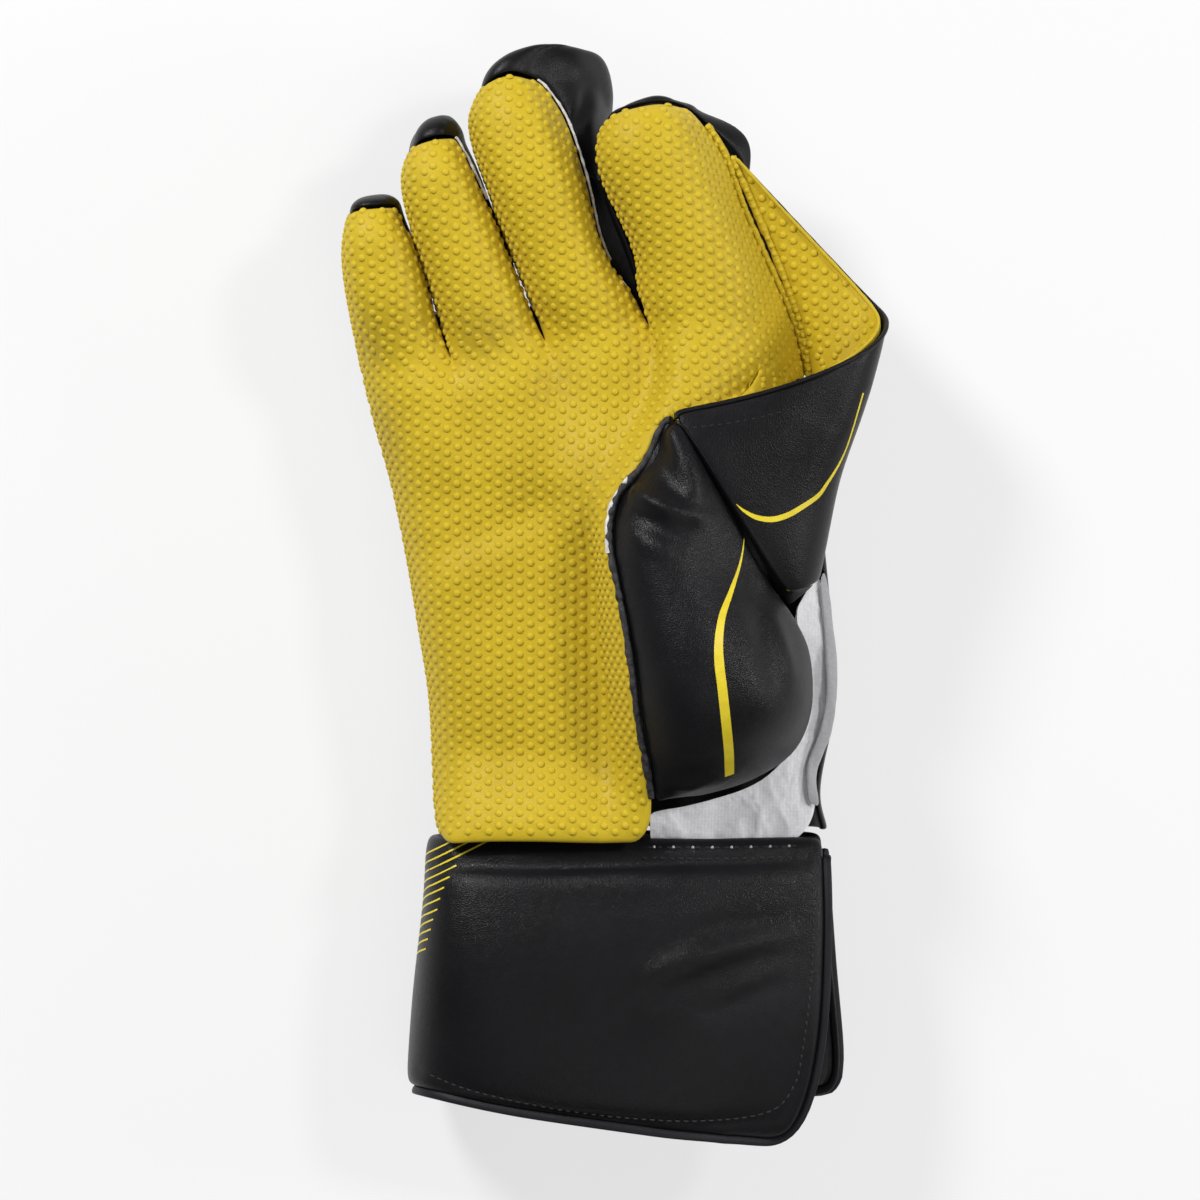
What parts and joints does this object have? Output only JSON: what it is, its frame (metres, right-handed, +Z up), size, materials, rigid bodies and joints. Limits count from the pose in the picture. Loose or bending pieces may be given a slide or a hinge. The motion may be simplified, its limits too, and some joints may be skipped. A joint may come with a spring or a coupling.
{
  "type": "wicketkeeping glove",
  "caption": "Right-hand wicketkeeping glove: a pimpled rubber palm and fingers, a folded catching web, a padded leather thumb and back, a cotton gusset and a wide padded cuff.",
  "frame": {"origin": "middle of the underside of the glove's box, on the surface it lies on", "axes": "+Y from the cuff to the fingertips, +X to the thumb side, +Z up, out of the palm"},
  "size_m": [0.169, 0.344, 0.0874],
  "materials": {
    "yellow_rubber": "matt rubber with moulded pimples",
    "black_leather": "satin, finely grained, padded",
    "black_welt": "satin leather rolled over a cord",
    "white_cotton": "matt woven cotton with fine creases",
    "bias_tape": "matt woven tape"
  },
  "bodies": {
    "root": {"palm_facing": "yellow_rubber", "web_facing": "yellow_rubber", "web_back": "black_leather", "little_back": "black_leather", "ring_back": "black_leather", "middle_back": "black_leather", "index_back": "black_leather", "hand_back": "black_leather", "thumb_back": "black_leather", "wrist_gusset": "white_cotton", "gusset_tape": "bias_tape", "cuff": "black_leather", "cuff_piping": "black_welt"}
  },
  "joints": []
}
